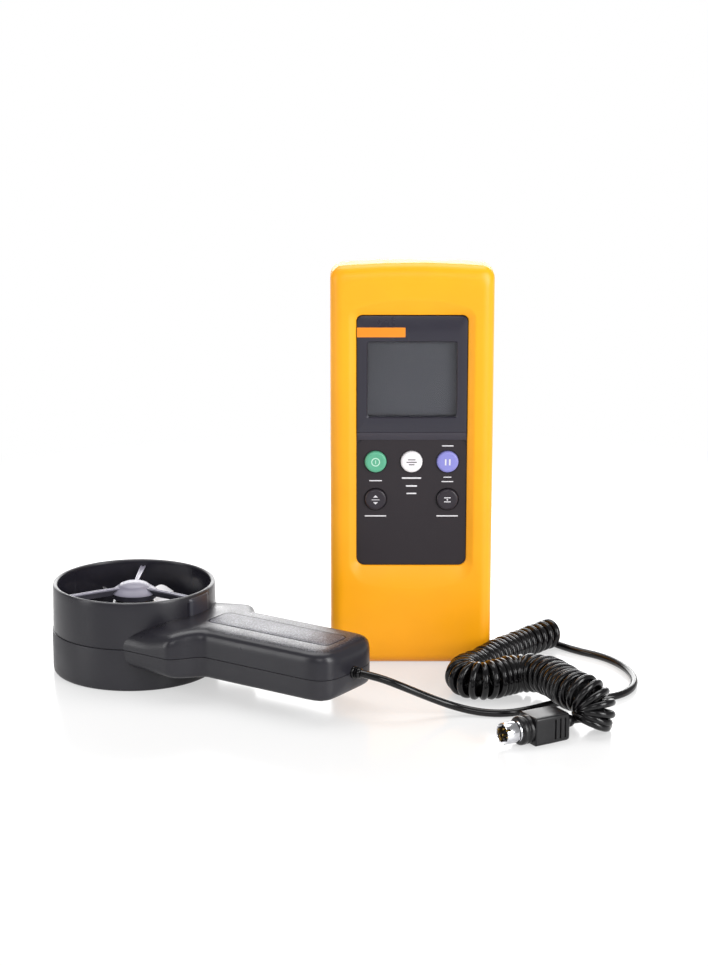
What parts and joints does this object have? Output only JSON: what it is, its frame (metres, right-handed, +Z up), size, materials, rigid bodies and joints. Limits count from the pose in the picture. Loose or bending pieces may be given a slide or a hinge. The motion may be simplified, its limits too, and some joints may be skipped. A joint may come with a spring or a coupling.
{
  "type": "handheld weather meter",
  "caption": "Handheld vane weather meter: a keypad and display unit in a rubber holster, with a ring-shaped vane probe on a curly cord that ends in a round multi-pin plug.",
  "frame": {"origin": "centre of the meter's base, on the surface that it stands on", "axes": "+Z up, +X to the right as seen facing the display, +Y from the display towards the back"},
  "size_m": [0.2593, 0.1481, 0.1814],
  "materials": {
    "holster_rubber": "satin moulded rubber, warm yellow-orange",
    "case_plastic": "fine satin moulding",
    "display_panel": "gloss printed panel",
    "lens_clear": "clear acrylic",
    "display_grey": "grey liquid-crystal cell",
    "keypad_print": "satin printed label",
    "key_green": "satin moulded",
    "key_white": "satin moulded",
    "key_violet": "satin moulded",
    "key_dark": "satin moulded",
    "silicone_grey": "matt silicone",
    "board_green": "solder mask",
    "chip_black": "moulded epoxy",
    "steel_zinc": "zinc plated",
    "steel_polished": "polished",
    "brass_contact": "stamped",
    "battery_jacket": "printed steel jacket",
    "probe_plastic": "satin moulded",
    "probe_panel": "spark-textured",
    "guard_grey": "satin moulded",
    "blade_white": "smooth moulded",
    "cord_black": "glossy jacket",
    "plug_black": "satin overmould"
  },
  "bodies": {
    "meter": {"holster": "holster_rubber", "front_case": "case_plastic", "rear_case": "case_plastic", "display_bezel": "display_panel", "display_lens": "lens_clear", "display_glass": "display_grey", "display_frame": "case_plastic", "display_connectors": "silicone_grey", "keypad_label": "keypad_print", "keypad_sheet": "silicone_grey", "main_board": "board_green", "board_parts": "chip_black", "board_screws": "steel_zinc", "socket_shell": "steel_polished", "socket_insert": "plug_black", "battery": "battery_jacket", "battery_contacts": "brass_contact", "stand_pin": "steel_zinc", "case_screws": "steel_zinc"},
    "key_power_cap": {"key_power": "key_green"},
    "key_function_cap": {"key_function": "key_white"},
    "key_hold_cap": {"key_hold": "key_violet"},
    "key_min_max_cap": {"key_min_max": "key_dark"},
    "key_average_cap": {"key_average": "key_dark"},
    "stand": {"tilt_stand": "case_plastic"},
    "door": {"battery_door": "case_plastic"},
    "probe": {"probe_lower_shell": "probe_plastic", "probe_upper_shell": "probe_plastic", "handle_panel": "probe_panel", "pickup_sensor": "chip_black", "sensor_board": "board_green", "probe_screws": "steel_zinc", "cord_collar": "plug_black", "upper_guard": "guard_grey", "lower_guard": "guard_grey", "upper_bearing": "steel_polished", "lower_bearing": "steel_polished", "cord_lead": "cord_black", "cord_coil": "cord_black", "plug_shell": "steel_polished", "plug_insert": "plug_black", "plug_pins": "steel_polished", "plug_body": "plug_black"},
    "rotor": {"rotor_hub": "probe_plastic", "rotor_blades": "blade_white", "rotor_shaft": "steel_polished"}
  },
  "joints": [
    {"name": "key_power_press", "type": "slide", "parent": "meter", "child": "key_power_cap", "axis": [0, 1, 0], "range_m": [0, 0.001], "stiffness_N_per_m": 1000},
    {"name": "key_function_press", "type": "slide", "parent": "meter", "child": "key_function_cap", "axis": [0, 1, 0], "range_m": [0, 0.001], "stiffness_N_per_m": 1000},
    {"name": "key_hold_press", "type": "slide", "parent": "meter", "child": "key_hold_cap", "axis": [0, 1, 0], "range_m": [0, 0.001], "stiffness_N_per_m": 1000},
    {"name": "key_min_max_press", "type": "slide", "parent": "meter", "child": "key_min_max_cap", "axis": [0, 1, 0], "range_m": [0, 0.001], "stiffness_N_per_m": 1000},
    {"name": "key_average_press", "type": "slide", "parent": "meter", "child": "key_average_cap", "axis": [0, 1, 0], "range_m": [0, 0.001], "stiffness_N_per_m": 1000},
    {"name": "stand_hinge", "type": "hinge", "parent": "meter", "child": "stand", "pos_m": [0, 0.0146, 0.1396], "axis": [1, 0, 0], "range_deg": [0, 45]},
    {"name": "door_lift", "type": "slide", "parent": "meter", "child": "door", "axis": [0, 1, 0], "range_m": [0, 0.03]},
    {"name": "probe_lift", "type": "slide", "parent": "meter", "child": "probe", "axis": [0, 0, 1], "range_m": [0, 0.1]},
    {"name": "rotor_spin", "type": "hinge", "parent": "probe", "child": "rotor", "pos_m": [-0.1233, -0.0196, 0.027], "axis": [0, 0, 1], "continuous": true}
  ]
}
